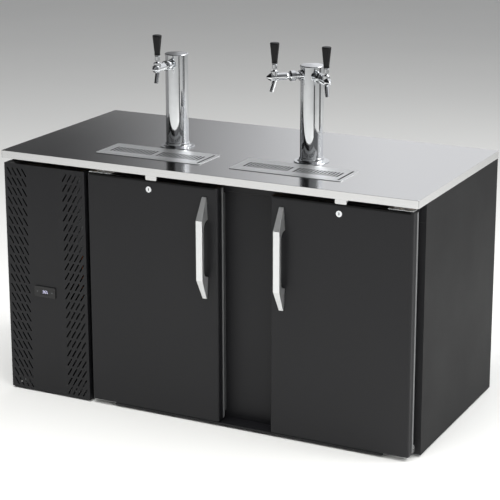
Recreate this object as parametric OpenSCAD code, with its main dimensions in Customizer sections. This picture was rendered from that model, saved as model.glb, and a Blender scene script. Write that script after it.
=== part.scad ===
// Direct draw beer dispenser: a low two-door keg cooler with a stainless worktop,
// a machine compartment behind a louvred panel, two column towers and three faucets.
// X runs left to right, -Y is the front, Z is up, and the floor is at Z = 0.

/* [Worktop] */
// Width of the worktop
worktop_w = 1499; // [1450:1:1600]
// Depth of the worktop
worktop_d = 737; // [700:1:800]
// Height of the worktop's surface above the floor
worktop_z = 850; // [820:1:900]
// Height of the worktop's folded edge
worktop_edge = 25.4; // [24:0.1:32]
// Thickness of the worktop's stainless sheet
sheet = 1.5; // [1:0.1:2]
// Width of the fold under the worktop's edge
edge_return = 40; // [32:1:50]
// Radius of the worktop's corners
worktop_r = 4; // [2:0.5:10]

/* [Cabinet] */
// Set-back of the cabinet's sides from the worktop's ends
side_inset = 2; // [0:0.5:8]
// Height of the levelling feet
foot_h = 6; // [4:0.5:10]
// Diameter of a levelling foot
foot_d = 40; // [30:1:50]
// Thickness of the cabinet's coated steel
panel_t = 1.2; // [0.8:0.1:1.6]
// Thickness of the insulated side and back walls
wall_t = 55; // [45:1:65]
// Thickness of the insulated wall beside the machine compartment
partition_t = 60; // [56:1:70]
// Thickness of the insulated floor
floor_t = 52; // [45:1:60]
// Thickness of the insulated ceiling
ceiling_t = 49; // [42:1:56]
// Thickness of the stainless liner
liner_t = 1.2; // [0.8:0.1:1.6]
// Depth of the front frame's bars
frame_t = 18; // [14:1:24]

/* [Doors] */
// Width of the left door
left_door_w = 484; // [460:1:520]
// Thickness of a door without its gasket
door_t = 50; // [45:1:60]
// Thickness of the gasket space behind a door
gasket_t = 10; // [9:0.5:12]
// Set-back of the doors' fronts from the worktop's edge
door_setback = 12; // [6:1:18]
// Gap above the doors
door_top_gap = 18.6; // [17:0.1:24]
// Gap below the doors, above the cabinet's underside
door_bottom_gap = 10; // [8:0.5:16]
// Width of the cabinet's front between the two doors
centre_gap = 187; // [170:1:210]
// Groove between the louvred panel and the left door
groove = 12; // [10:1:16]
// Radius of a door's upright front edges
door_r = 8; // [4:0.5:10]
// Thickness of the door's moulded inner liner
door_liner_t = 6; // [5:0.5:8]
// Distance of the right door's hinged edge from the cabinet's side
door_side = 18; // [12:0.5:24]
// Distance of the hinge pin from the door's hinged edge
hinge_in = 18; // [16:0.5:20]
// Distance of the hinge pin from the door's front
hinge_back = 22; // [20:0.5:25]
// Diameter of the hinge pin
hinge_pin_d = 10; // [8:0.5:12]
// Length of a hinge bracket
hinge_len = 84; // [60:1:110]
// Thickness of a hinge bracket
hinge_t = 3; // [2:0.5:4]
// Distance of the gasket from the door's hinged, upper and lower edges
gasket_in = 24; // [22:0.5:30]
// Distance of the gasket from the door's free edge
gasket_free = 1; // [0.5:0.5:4]
// Width of the gasket
gasket_w = 16; // [12:0.5:20]

/* [Handles and locks] */
// Length of a door handle
handle_len = 338; // [280:1:400]
// Height of a handle's middle above the floor
handle_z = 605; // [560:1:620]
// Reach of a handle from the door's front
handle_reach = 40; // [34:1:50]
// Width of a handle's grip
handle_w = 22.5; // [18:0.5:28]
// Width of a handle's tips
handle_tip_w = 15; // [12:0.5:18]
// Thickness of a handle's grip
handle_grip_t = 13; // [10:0.5:16]
// Length of a handle's slanted ends
handle_slant = 70; // [60:1:90]
// Thickness of a handle's tips
handle_tip_t = 5; // [3:0.5:8]
// Length of the finger gap behind a handle
finger_gap = 190; // [160:1:210]
// Left handle's distance from the free edge of its door
left_handle_in = 46; // [40:1:80]
// Right handle's distance from the free edge of its door
right_handle_in = 40; // [34:1:80]
// Left lock's distance from the free edge of its door
left_lock_in = 250; // [230:1:270]
// Right lock's distance from the free edge of its door
right_lock_in = 235; // [220:1:260]
// Drop of the locks from the doors' tops
lock_drop = 30; // [28:0.5:32]
// Diameter of a lock's face
lock_face_d = 22; // [20:0.5:26]
// Diameter of a lock's barrel
lock_barrel_d = 18; // [16:0.5:19]
// Diameter of a lock's turning plug
lock_plug_d = 11.6; // [10:0.2:13]
// Width of a strike plate
strike_w = 39; // [32:1:46]
// Set-back of a strike plate from the door's front
strike_back = 20; // [18:0.5:22]

/* [Louvred panel] */
// Width of the louvred panel
panel_w = 315.5; // [300:0.5:340]
// Length of a louvre slot
slot_len = 33; // [28:0.5:36]
// Width of a louvre slot
slot_w = 5; // [4:0.5:6]
// Lean of a louvre slot from upright
slot_lean = 32; // [25:1:38]
// Step between the slots of a row
slot_step = 19.5; // [17:0.5:22]
// Step between the rows of slots
row_step = 34.1; // [33:0.1:40]
// Margin beside the slots
slot_margin = 8; // [6:0.5:14]
// Margin above the slots
slot_top = 12; // [8:0.5:20]
// Width of the temperature controller's bezel
bezel_w = 84; // [78:1:95]
// Height of the temperature controller's bezel
bezel_h = 38; // [34:1:44]
// Height of the controller above the floor
bezel_z = 369; // [320:1:420]
// Offset of the controller from the panel's middle
bezel_offset = -9; // [-12:1:12]
// Travel of a controller key
key_travel = 1; // [0.6:0.1:1.4]

/* [Drip trays] */
// Distance of the trays and towers from the middle
station_x = 250; // [240:1:270]
// Width of a drip tray
tray_w = 396; // [360:1:420]
// Depth of a drip tray, front to back
tray_d = 152; // [140:1:170]
// Distance of the trays from the worktop's front edge
tray_front = 109; // [95:1:125]
// Depth of the pan below the worktop
tray_depth = 20; // [16:0.5:21]
// Width of the tray's rim
tray_rim = 12; // [9:0.5:16]
// Thickness of the tray's rim and walls
tray_t = 1.5; // [1:0.1:2]
// Length of a grid slot
grid_slot_len = 60; // [50:1:70]
// Width of a grid slot
grid_slot_w = 6; // [4:0.5:7]
// Step between grid slots
grid_step = 12.5; // [11:0.5:15]
// Number of slots in each of the grid's two groups
grid_slots = 13; // [8:1:13]
// Diameter of the drain spigot
drain_d = 14; // [12:0.5:18]

/* [Towers] */
// Gap between a drip tray and the flange of the tower behind it
tower_gap = 1; // [1:0.5:20]
// Diameter of a tower's column
tower_d = 76.2; // [74:0.1:80]
// Height of a tower's column above the worktop
tower_h = 312; // [308:1:340]
// Wall of a tower's column
tower_wall = 1.5; // [1:0.1:2]
// Diameter of a tower's base flange
flange_d = 116; // [108:1:130]
// Height of the collar round a column's foot
collar_h = 16; // [12:0.5:22]
// Diameter of the well under a tower
well_d = 64; // [58:1:68]

/* [Faucets] */
// Height of the faucets above the worktop
tap_h = 287; // [282:1:290]
// Distance of a faucet's lever from the column's axis
tap_reach = 128; // [122:1:140]
// Splay of the paired faucets from straight ahead
tap_splay = 45; // [44:1:50]
// Lever's travel from shut to open
tap_open = 30; // [24:1:32]
// Diameter of a shank
shank_d = 22; // [21:0.5:23]
// Diameter of a faucet's barrel
barrel_d = 25; // [24:0.5:28]
// Length of a tap handle
knob_h = 67; // [60:1:90]
// Diameter of a tap handle's top
knob_top_d = 30; // [26:0.5:34]
// Diameter of a tap handle's foot
knob_foot_d = 19; // [17:0.5:22]
// Diameter of a beer line
line_d = 9.5; // [8:0.5:10]

/* [Cooling unit] */
// Diameter of the compressor's shell
compressor_d = 150; // [130:1:170]
// Height of the compressor's shell
compressor_h = 190; // [160:1:210]
// Height of the condenser coil
condenser_h = 270; // [260:1:320]
// Depth of the condenser coil
condenser_t = 60; // [40:1:75]
// Diameter of the condenser's fan
fan_d = 190; // [160:1:196]
// Diameter of the evaporator's fan
evap_fan_d = 120; // [100:1:130]

/* [Hidden] */
$fn = 64;
// Running clearance between pieces
clear = 0.3;
// Clearance between pieces that are fastened together
snug = 0.2;
// Overrun of a cut past the face it opens
over = 1;

handle_out = handle_reach - door_setback;
y_front = -(worktop_d + handle_out) / 2 + handle_out;
y_back = y_front + worktop_d;
y_door = y_front + door_setback;
y_cab = y_door + door_t + gasket_t;
y_rear = y_back - side_inset;
y_skin = y_rear - 2 * panel_t;
x_l = -worktop_w / 2 + side_inset;
x_r = worktop_w / 2 - side_inset;
z_base = foot_h;
z_floor = z_base + sheet;
z_under = worktop_z - worktop_edge;
door_z0 = z_base + door_bottom_gap;
door_z1 = z_under - door_top_gap;
door_h = door_z1 - door_z0;

x_panel = x_l + panel_w;
x_door1 = x_panel + groove;
x_mid1 = x_door1 + left_door_w;
x_mid2 = x_mid1 + centre_gap;
x_door2 = x_r - door_side;
right_door_w = x_door2 - x_mid2;

// Keg compartment
frame_lap = gasket_in + gasket_w + 2;
partition_lead = 20;
side_fold = 20;
base_upstand = 30;
x_part = x_door1 - partition_lead;
x_keg0 = x_part + partition_t;
x_keg1 = x_r - wall_t;
y_keg0 = y_cab + frame_t;
y_keg1 = y_rear - wall_t;
z_keg0 = z_base + floor_t;
z_keg1 = z_under - ceiling_t;
butt_gap = 0.4;
post_rise = 21;
post_sink = 31;
toe_back = 2;
toe_gap = 2.5;
toe_room = 2;

// Hinges
x_hinge1 = x_door1 + hinge_in;
x_hinge2 = x_door2 - hinge_in;
y_hinge = y_door + hinge_back;
hinge_gap = 1.2;
hinge_pin_len = 14;
washer_t = 1;
washer_lap = 4;
bracket_in = 3;
bracket_front = 8;

// Locks
lock_z = door_z1 - lock_drop;
left_lock_x = x_mid1 - left_lock_in;
right_lock_x = x_mid2 + right_lock_in;
lock_depth = 26;
cam_room = 1.5;
cam_y = lock_depth + cam_room;
cam_t = 3;
cam_w = 14;
cam_len = lock_drop + 12;
strike_t = 2;
strike_foot = 14;
strike_drop = door_top_gap - 1;

// Louvred panel and temperature controller
panel_h = door_z1 - z_base;
slot_foot = 2;
bezel_x = x_l + panel_w / 2 + bezel_offset;
bezel_t = 4;
bezel_lap = 8;
housing_w = bezel_w - 2 * bezel_lap;
housing_h = bezel_h - 2 * bezel_lap + 4;
housing_len = 45;
key_d = 5.4;
key_x = bezel_w / 2 - 13;
key_out = 1.2;
key_depth = 2;

// Drip trays
y_tray = y_front + tray_front + tray_d / 2;
tray_r = 10;
pan_w = tray_w - 2 * tray_rim;
pan_d = tray_d - 2 * tray_rim;
pan_r = 2.5;
pan_clear = 1;
grid_t = 1.5;
grid_clear = 0.8;
grid_web = 20;
grid_finger = 5;
grid_leg_d = 8;
grid_leg_in = 20;
drain_end = 15;
drain_room = 1;
drain_step = 1;

// Towers and faucets
y_tower = y_front + tray_front + tray_d + tower_gap + flange_d / 2;
col_r = tower_d / 2;
z_tap = worktop_z + tap_h;
cap_h = 9;
cap_lip = 1.4;
cap_plug = 10;
taps = [[-station_x, 0], [station_x, -tap_splay], [station_x, tap_splay]];

// Heights above a faucet's axis, and radii about its lever
pivot_w = 17;
ball_r = 7.5;
bonnet_r = 12.5;
bonnet_w0 = 14;
bonnet_w1 = 20.4;
bonnet_waist = 1.5;
bonnet_chamfer = 2;
stem_r = 3.5;
ferrule_r = 8.3;
ferrule_w0 = 27;
ferrule_w1 = 44;
stud_r = 4.5;
stud_len = 14;
pin_r = 2;
tip_r = 3;
ball_gap = 0.4;
tap_travel = pivot_w * sin(tap_open);

// Distances along a faucet, from the column's axis outwards
shank_tail = 24;
shank_end = tap_reach - 60;
nut_start = shank_end - 10;
nut_end = shank_end + 10;
body_start = shank_end + clear;
tail_flange = 5.2;
neck_end = body_start + 13;
barrel_start = body_start + 20;
valve_room = 17.5;
seat_at = body_start + valve_room + tap_travel;
nose_end = tap_reach + 28;
spout_at = tap_reach - 4;
spout_lean = 17;
spout_len = 50;
barrel_r = barrel_d / 2;
shank_bore = 10;
shank_stop = 2;
shank_neck = 5;
neck_wall = 1;
inlet_step = 1.5;
inlet_run = 3;
saddle_r = 17;
saddle_in = 8;
saddle_out = 6;
nut_r = 17;
nut_lip = 4;
nut_chamfer = 1.5;
tail_r = 10;
flange_r = 13.2;
chamber_r = 7.5;
bore_r = 5.3;
shaft_r = 4.9;
valve_r = 6.8;

// Machine compartment
bay_x = (x_l + panel_t + x_part) / 2;
bay_w = x_part - x_l - panel_t;
unit_w = bay_w - 26;
unit_t = 2;
unit_lip = 15;
unit_y0 = y_cab + 25;
unit_y1 = y_skin - 25;
z_unit = z_floor + unit_t;
cond_y = unit_y0 + 20;
cond_w = unit_w - 30;
fan_z = z_unit + condenser_h / 2;
shroud_y = cond_y + condenser_t;
shroud_t = 1.5;
ring_gap = 6;
ring_len = 30;
fan_y = shroud_y + shroud_t + 4;
hub_len = 24;
hub_d = 50;
motor_d = 70;
motor_len = 55;
motor_gap = 5;
motor_y = fan_y + hub_len + motor_gap;
shaft_d = 8;
comp_y = unit_y1 - 20 - compressor_d / 2;
comp_foot = 12;
z_comp = z_unit + comp_foot;
pipe_d = 9.5;
pipe_bend = 16;
stub_d = pipe_d + 4;
stub_len = 10;
stub_root = 4;
discharge_x = -20;
suction_x = 35;
liquid_x = 60;

// Evaporator on the wall beside the machine compartment
evap_t = 95;
evap_len = 290;
evap_back = 30;
evap_y0 = y_keg1 - evap_back - evap_len;
evap_h = 210;
evap_z1 = z_keg1 - 20;
evap_z0 = evap_z1 - evap_h;
evap_wall = 1.2;
evap_fan_y = evap_y0 + evap_len / 2;
evap_fan_z = (evap_z0 + evap_z1) / 2;
coil_t = 40;
evap_motor_x = x_keg0 + coil_t + 4;
evap_motor_len = 22;
evap_hub_len = 14;
evap_shaft_d = 5;
evap_hub_gap = 3;
evap_hub_x = evap_motor_x + evap_motor_len + evap_hub_gap;
lines_in = 40;
suction_up = 60;
liquid_up = 120;
lines_y = evap_y0 + lines_in;
suction_z = evap_z0 + suction_up;
liquid_z = evap_z0 + liquid_up;
guard_gap = 5;
guard_w = 3;
cover_slot_h = 8;
cover_slot_step = 25;
cover_slot_in = 20;

// Shared shapes
module block(low, high) {
    translate(low) cube(high - low);
}

module rounded_rect(w, d, r) {
    square([w - 2 * r, d], center = true);
    square([w, d - 2 * r], center = true);
    for (sx = [-1, 1], sy = [-1, 1])
        translate([sx * (w / 2 - r), sy * (d / 2 - r)]) circle(r);
}

module slot_shape(len, w) {
    square([w, len - w], center = true);
    for (s = [-1, 1]) translate([0, s * (len - w) / 2]) circle(d = w);
}

// Points along an arc, used in turned profiles
function arc(c, r, a0, a1, n) =
    [for (k = [0 : n]) let (a = a0 + (a1 - a0) * k / n) c + r * [cos(a), sin(a)]];

// Outline of a slot with blunt ends, leaning by an angle
function slot_points(c, len, w, lean) = [
    for (p = [[w / 2, w / 2 - len / 2], [w / 2, len / 2 - w / 2], [0, len / 2],
              [-w / 2, len / 2 - w / 2], [-w / 2, w / 2 - len / 2], [0, -len / 2]])
        c + [p[0] * cos(lean) - p[1] * sin(lean), p[0] * sin(lean) + p[1] * cos(lean)]
];

function rect_points(c, w, h) =
    [for (s = [[-1, -1], [1, -1], [1, 1], [-1, 1]]) c + [s[0] * w / 2, s[1] * h / 2]];

// A flat sheet with closed cut-outs, drawn on X and Z, with its front at Y = 0
module pierced_sheet(outline, holes, t) {
    rings = concat([outline], holes);
    sizes = [for (ring = rings) len(ring)];
    starts = [for (i = 0, s = 0; i < len(rings); s = s + sizes[i], i = i + 1) s];
    points = [for (ring = rings, p = ring) p];
    paths = [for (i = [0 : len(rings) - 1]) [for (k = [0 : sizes[i] - 1]) starts[i] + k]];
    translate([0, t, 0]) rotate([90, 0, 0]) linear_extrude(t) polygon(points, paths);
}

// A round bar between two points
module bar(p, q, d) {
    v = q - p;
    translate(p)
        rotate([0, acos(v[2] / norm(v)), atan2(v[1], v[0])])
            cylinder(d = d, h = norm(v));
}

// A square bend at p, which comes in along u and goes out along v
module elbow(p, u, v, r, d) {
    c = p - r * u + r * v;
    w = cross(u, v);
    multmatrix([[-v[0], u[0], w[0], c[0]], [-v[1], u[1], w[1], c[1]], [-v[2], u[2], w[2], c[2]],
                [0, 0, 0, 1]])
        rotate_extrude(angle = 90) translate([r, 0]) circle(d = d);
}

// A pipe with square bends along a few points
module pipe(points, r, d) {
    last = len(points) - 1;
    run = [for (i = [0 : last - 1]) let (v = points[i + 1] - points[i]) v / norm(v)];
    for (i = [0 : last - 1])
        bar(points[i] + (i > 0 ? r : 0) * run[i], points[i + 1] - (i < last - 1 ? r : 0) * run[i], d);
    for (i = [1 : last - 1]) elbow(points[i], run[i - 1], run[i], r, d);
}

// A turned piece whose axis points out from a column along -Y
module turned_out(profile) {
    rotate([90, 0, 0]) rotate_extrude() polygon(profile);
}

// Places its children at one faucet, with -Y pointing away from the column
module at_tap(t) {
    translate([t[0], y_tower, z_tap]) rotate([0, 0, t[1]]) children();
}

// Cabinet
module side_panels() {
    color("#2e2e2e")
        for (s = [-1, 1]) {
            x_out = s < 0 ? x_l : x_r;
            x_in = x_out - s * panel_t;
            x_fold = x_out - s * side_fold;
            block([min(x_out, x_in), y_cab, z_base], [max(x_out, x_in), y_rear, z_under]);
            block([min(x_in, x_fold), y_rear - panel_t, z_base],
                  [max(x_in, x_fold), y_rear, z_under]);
        }
}

module back_panel() {
    x0 = x_l + panel_t;
    w = x_r - panel_t - x0;
    h = z_under - z_floor;
    vent_w = 60;
    vent_h = 7;
    vent_rows = 14;
    vent_step = 20;
    vent_gap = 24;
    vent_z = 90;
    cord_z = 50;
    cord_d = 22;
    vents = [for (s = [-1, 1], row = [0 : vent_rows - 1])
        rect_points([bay_w / 2 + s * (vent_w + vent_gap) / 2, vent_z + row * vent_step], vent_w, vent_h)];
    color("#3a3a3a") translate([x0, y_skin, z_floor]) difference() {
        pierced_sheet([[0, 0], [w, 0], [w, h], [0, h]], vents, panel_t);
        translate([bay_w / 2, -over, cord_z]) rotate([-90, 0, 0])
            cylinder(d = cord_d, h = panel_t + 2 * over);
    }
}

module base_pan() {
    color("#8a8d8f") {
        block([x_l + panel_t, y_cab, z_base], [x_r - panel_t, y_rear - panel_t, z_floor]);
        block([x_l + panel_t, y_cab, z_floor], [x_part, y_cab + sheet, z_floor + base_upstand]);
    }
}

module levelling_feet() {
    inset = 50;
    neck = 1.5;
    taper = 4;
    color("#1c1c1c")
        for (x = [x_l + inset, x_part, x_r - inset], y = [y_cab + inset, y_rear - inset])
            translate([x, y, 0]) {
                cylinder(d1 = foot_d - taper, d2 = foot_d, h = neck);
                translate([0, 0, neck]) cylinder(d = foot_d, h = foot_h - 2 * neck);
                translate([0, 0, foot_h - neck]) cylinder(d = foot_d / 2, h = neck);
            }
}

// Holes for the tower wells and drains through everything above the kegs
module ceiling_holes(extra) {
    for (s = [-1, 1]) {
        translate([s * station_x, y_tower, z_keg1 - ceiling_t])
            cylinder(d = well_d + extra, h = worktop_z);
        translate([s * station_x, y_tray, z_keg1 - ceiling_t])
            cylinder(d = drain_d + 2 * drain_room + extra, h = worktop_z);
    }
}

module line_holes(d) {
    for (z = [suction_z, liquid_z])
        translate([x_part - over, lines_y, z]) rotate([0, 90, 0])
            cylinder(d = d, h = partition_t + 2 * over);
}

module foam_insulation() {
    color("#e8dfc0") {
        difference() {
            block([x_part, y_keg0, z_floor], [x_keg0 - liner_t, y_skin, z_under]);
            line_holes(pipe_d + 3);
        }
        block([x_keg1 + liner_t, y_keg0, z_floor], [x_r - panel_t, y_skin, z_under]);
        block([x_keg0 - liner_t + butt_gap, y_keg1 + liner_t, z_floor],
              [x_keg1 + liner_t - butt_gap, y_skin, z_under]);
        block([x_keg0 - liner_t + butt_gap, y_keg0, z_floor],
              [x_keg1 + liner_t - butt_gap, y_keg1 + liner_t - butt_gap, z_keg0 - liner_t]);
        difference() {
            block([x_keg0 - liner_t + butt_gap, y_keg0, z_keg1 + liner_t],
                  [x_keg1 + liner_t - butt_gap, y_keg1 + liner_t - butt_gap, z_under]);
            ceiling_holes(2);
        }
    }
}

module inner_liner() {
    color("#c9ccce") difference() {
        block([x_keg0 - liner_t, y_keg0, z_keg0 - liner_t],
              [x_keg1 + liner_t, y_keg1 + liner_t, z_keg1 + liner_t]);
        block([x_keg0, y_keg0 - over, z_keg0], [x_keg1, y_keg1, z_keg1]);
        ceiling_holes(0);
        line_holes(pipe_d + 1);
    }
}

// The middle post is let into the rails, and a toe rail runs under the doors between their hinges
module front_frame() {
    z_low = door_z0 + frame_lap;
    z_top = door_z1 - frame_lap;
    post_0 = [x_mid1 - frame_lap, y_cab, z_low - post_sink];
    post_1 = [x_mid2 + frame_lap, y_keg0, z_top + post_rise];
    toe_in = bracket_in + hinge_len + toe_room;
    x_end = x_r - panel_t;
    color("#202020") {
        difference() {
            union() {
                block([x_part, y_cab, z_top], [x_end, y_keg0, z_under]);
                block([x_part, y_cab, z_floor], [x_end, y_keg0, z_low]);
            }
            block(post_0 - [butt_gap, over, butt_gap], post_1 + [butt_gap, over, butt_gap]);
        }
        block(post_0, post_1);
        for (x = [[x_part, x_door1 + frame_lap], [x_door2 - frame_lap, x_end]])
            block([x[0], y_cab, z_low + butt_gap], [x[1], y_keg0, z_top - butt_gap]);
        block([x_door1 + toe_in, y_door + toe_back, z_floor],
              [x_door2 - toe_in, y_cab - butt_gap, door_z0 - toe_gap]);
    }
}

module tray_cuts(extra) {
    for (s = [-1, 1])
        translate([s * station_x, y_tray, z_under - over])
            linear_extrude(worktop_edge + 2 * over)
                rounded_rect(pan_w + 2 * extra, pan_d + 2 * extra, pan_r + extra);
}

module well_cuts(extra) {
    for (s = [-1, 1])
        translate([s * station_x, y_tower, z_under - over])
            cylinder(d = well_d + extra, h = worktop_edge + 2 * over);
}

module worktop() {
    half = worktop_w / 2;
    color("#c4c6c8") difference() {
        translate([0, (y_front + y_back) / 2, z_under])
            linear_extrude(worktop_edge) rounded_rect(worktop_w, worktop_d, worktop_r);
        block([-half + sheet, y_front + sheet, z_under + sheet],
              [half - sheet, y_back - sheet, worktop_z - sheet]);
        block([-half + edge_return, y_front + edge_return, z_under - over],
              [half - edge_return, y_back - edge_return, z_under + sheet + over]);
        tray_cuts(pan_clear);
        well_cuts(0);
    }
}

module worktop_core() {
    half = worktop_w / 2 - sheet - clear;
    color("#b89b6c") difference() {
        block([-half, y_front + sheet + clear, z_under + sheet],
              [half, y_back - sheet - clear, worktop_z - sheet]);
        tray_cuts(2 * pan_clear);
        well_cuts(2);
    }
}

// Drip trays
module drip_pan(x) {
    drain_h = worktop_z - tray_depth - z_keg1 + drain_end;
    color("#b4b6b8") translate([x, y_tray, worktop_z]) difference() {
        union() {
            linear_extrude(tray_t) rounded_rect(tray_w, tray_d, tray_r);
            translate([0, 0, -tray_depth]) linear_extrude(tray_depth)
                rounded_rect(pan_w, pan_d, pan_r);
            translate([0, 0, drain_end - tray_depth - drain_h])
                cylinder(d = drain_d, h = drain_h - drain_end);
            translate([0, 0, -tray_depth - drain_h])
                cylinder(d = drain_d - 2 * drain_step, h = drain_end);
        }
        translate([0, 0, tray_t - tray_depth]) linear_extrude(tray_depth + over)
            rounded_rect(pan_w - 2 * tray_t, pan_d - 2 * tray_t, pan_r - tray_t);
        translate([0, 0, -tray_depth - drain_h - over])
            cylinder(d = drain_d - 2 * (drain_step + tray_t), h = drain_h + tray_depth);
    }
}

module drip_grid(x) {
    w = pan_w - 2 * tray_t - 2 * grid_clear - grid_finger;
    d = pan_d - 2 * tray_t - 2 * grid_clear;
    leg_h = tray_depth - grid_t - clear;
    group_x = (grid_slots - 1) / 2 * grid_step + (grid_slot_w + grid_web) / 2;
    color("#a8aaac") translate([x - grid_finger / 2, y_tray, worktop_z + tray_t - grid_t]) {
        linear_extrude(grid_t) difference() {
            rounded_rect(w, d, pan_r - tray_t);
            for (s = [-1, 1], k = [0 : grid_slots - 1])
                translate([s * group_x + (k - (grid_slots - 1) / 2) * grid_step, 0])
                    slot_shape(grid_slot_len, grid_slot_w);
        }
        for (sx = [-1, 1], sy = [-1, 1])
            translate([sx * (w / 2 - grid_leg_in), sy * (d / 2 - grid_leg_in), -leg_h])
                cylinder(d = grid_leg_d, h = leg_h);
    }
}

// Strike plates and hinges
module lock_strikes() {
    y = y_door + strike_back;
    half = strike_w / 2;
    color("#d9d9d9")
        for (x = [left_lock_x, right_lock_x]) {
            block([x - half, y, z_under - strike_drop], [x + half, y + strike_t, z_under]);
            block([x - half, y - strike_foot, z_under - strike_t], [x + half, y, z_under]);
        }
}

// One hinge bracket: s is the side of the cabinet, up is 1 above the door and -1 below it
module hinge_bracket(s, up) {
    x_pin = s < 0 ? x_hinge1 : x_hinge2;
    x_near = s < 0 ? x_door1 + bracket_in : x_door2 - bracket_in - hinge_len;
    z_plate = up > 0 ? door_z1 + hinge_gap : door_z0 - hinge_gap - hinge_t;
    z_pin = up > 0 ? door_z1 - hinge_pin_len : door_z0 - hinge_gap;
    z_washer = up > 0 ? door_z1 + hinge_gap - washer_t : door_z0 - hinge_gap;
    z_leg = up > 0 ? z_under - washer_t : door_z0 + gasket_in - washer_t;
    block([x_near, y_door + bracket_front, z_plate], [x_near + hinge_len, y_cab, z_plate + hinge_t]);
    block([x_near, y_cab - hinge_t, z_plate], [x_near + hinge_len, y_cab, z_leg]);
    translate([x_pin, y_hinge, z_pin]) cylinder(d = hinge_pin_d, h = hinge_pin_len + hinge_gap);
    translate([x_pin, y_hinge, z_washer]) cylinder(d = hinge_pin_d + 2 * washer_lap, h = washer_t);
}

module hinge_brackets() {
    color("#c8c8c8")
        for (s = [-1, 1], up = [-1, 1]) hinge_bracket(s, up);
}

// Doors: x0 is the left edge, s is the hinged side
module door_plan(w, t, r) {
    translate([0, r]) square([w, t - r]);
    translate([r, 0]) square([w - 2 * r, t]);
    for (x = [r, w - r]) translate([x, r]) circle(r);
}

module door_panel(x0, w, s, lock_x) {
    t = door_t - door_liner_t;
    x_pin = s < 0 ? x0 + hinge_in : x0 + w - hinge_in;
    bush = hinge_pin_len + 2;
    color("#2b2b2b") difference() {
        translate([x0, y_door, door_z0]) linear_extrude(door_h) door_plan(w, t, door_r);
        for (z = [door_z0 - over, door_z1 - bush])
            translate([x_pin, y_hinge, z])
                cylinder(d = hinge_pin_d + 2 * clear, h = bush + over);
        translate([lock_x, y_door - over, lock_z]) rotate([-90, 0, 0])
            cylinder(d = lock_barrel_d + 2 * clear, h = lock_depth + over);
        block([lock_x - cam_len - cam_room, y_door + lock_depth, lock_z - cam_w / 2 - cam_room],
              [lock_x + cam_len + cam_room, y_door + cam_y + cam_t + cam_room, door_z1 + over]);
    }
}

module door_liner(x0, w) {
    edge = 6;
    margin = gasket_in + gasket_w + 4;
    pocket = 3.5;
    pocket_r = 20;
    zc = (door_z0 + door_z1) / 2;
    xc = x0 + w / 2;
    color("#e4e4e2") difference() {
        block([x0 + edge, y_door + door_t - door_liner_t, door_z0 + edge],
              [x0 + w - edge, y_door + door_t, door_z1 - edge]);
        translate([xc, y_door + door_t + over, zc]) rotate([90, 0, 0])
            linear_extrude(pocket + over) rounded_rect(w - 2 * margin, door_h - 2 * margin, pocket_r);
    }
}

module door_gasket(x0, w, s) {
    foot_t = 4;
    lip = 2;
    y = y_door + door_t;
    low = [x0 + (s < 0 ? gasket_in : gasket_free), y, door_z0 + gasket_in];
    high = [x0 + w - (s < 0 ? gasket_free : gasket_in), y, door_z1 - gasket_in];
    color("#8e8e8e")
        for (layer = [[0, foot_t, 0], [foot_t, gasket_t - clear, lip]]) {
            a = layer[2];
            b = gasket_w - layer[2];
            difference() {
                block(low + [a, layer[0], a], high + [-a, layer[1], -a]);
                block(low + [b, -over, b], high + [-b, gasket_t, -b]);
            }
        }
}

// The handle is a bowed bar: its side outline and its front outline are crossed
module door_handle(x) {
    half = handle_len / 2;
    bend = half - handle_slant;
    gap = finger_gap / 2;
    gap_depth = handle_reach - handle_grip_t;
    gap_r = min(25, gap_depth - 1);
    color("#dcdcdc") translate([x, y_door, handle_z]) intersection() {
        rotate([90, 0, 90]) linear_extrude(handle_w, center = true) difference() {
            polygon([[0, -half], [-handle_tip_t, -half], [-handle_reach, -bend],
                     [-handle_reach, bend], [-handle_tip_t, half], [0, half]]);
            rounded_rect(2 * gap_depth, 2 * gap, gap_r);
        }
        rotate([90, 0, 0]) linear_extrude(3 * handle_reach, center = true)
            polygon([[-handle_tip_w / 2, -half], [handle_tip_w / 2, -half], [handle_w / 2, -bend],
                     [handle_w / 2, bend], [handle_tip_w / 2, half], [-handle_tip_w / 2, half],
                     [-handle_w / 2, bend], [-handle_w / 2, -bend]]);
    }
}

module lock_barrel(x) {
    face_t = 2.5;
    color("#d8d8d8") translate([x, y_door, lock_z]) rotate([-90, 0, 0]) difference() {
        union() {
            translate([0, 0, -face_t]) cylinder(d1 = lock_face_d - 2, d2 = lock_face_d, h = face_t);
            cylinder(d = lock_barrel_d, h = lock_depth);
        }
        translate([0, 0, -face_t - over])
            cylinder(d = lock_plug_d + 2 * clear, h = lock_depth + face_t + 2 * over);
    }
}

// The plug turns with the cam behind it; s is the side that the cam points to at rest
module lock_plug(x, s) {
    face = 2.2;
    key_w = 2;
    key_h = 8;
    arm = cam_len - cam_w / 2;
    color("#bfbfbf") translate([x, y_door, lock_z]) rotate([-90, 0, 0]) {
        difference() {
            translate([0, 0, -face]) cylinder(d = lock_plug_d, h = face + cam_y);
            translate([-key_w / 2, -key_h / 2, -face - over]) cube([key_w, key_h, face + over]);
        }
        translate([0, 0, cam_y]) linear_extrude(cam_t) {
            circle(d = cam_w);
            translate([s * arm / 2, 0]) square([arm, cam_w], center = true);
            translate([s * arm, 0]) circle(d = cam_w);
        }
    }
}

// Louvred panel and temperature controller
function louvre_slots(h) =
    let (rise = slot_len * cos(slot_lean) + slot_w,
         run = slot_len * sin(slot_lean) + slot_w,
         rows = floor((h - slot_top - slot_foot - rise) / row_step) + 1)
    [for (s = [-1, 1], row = [0 : rows - 1], k = [0 : 3])
        slot_points([panel_w / 2 + s * (panel_w / 2 - slot_margin - run / 2 - k * slot_step),
                     h - slot_top - rise / 2 - row * row_step],
                    slot_len, slot_w, -s * slot_lean)];

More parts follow.
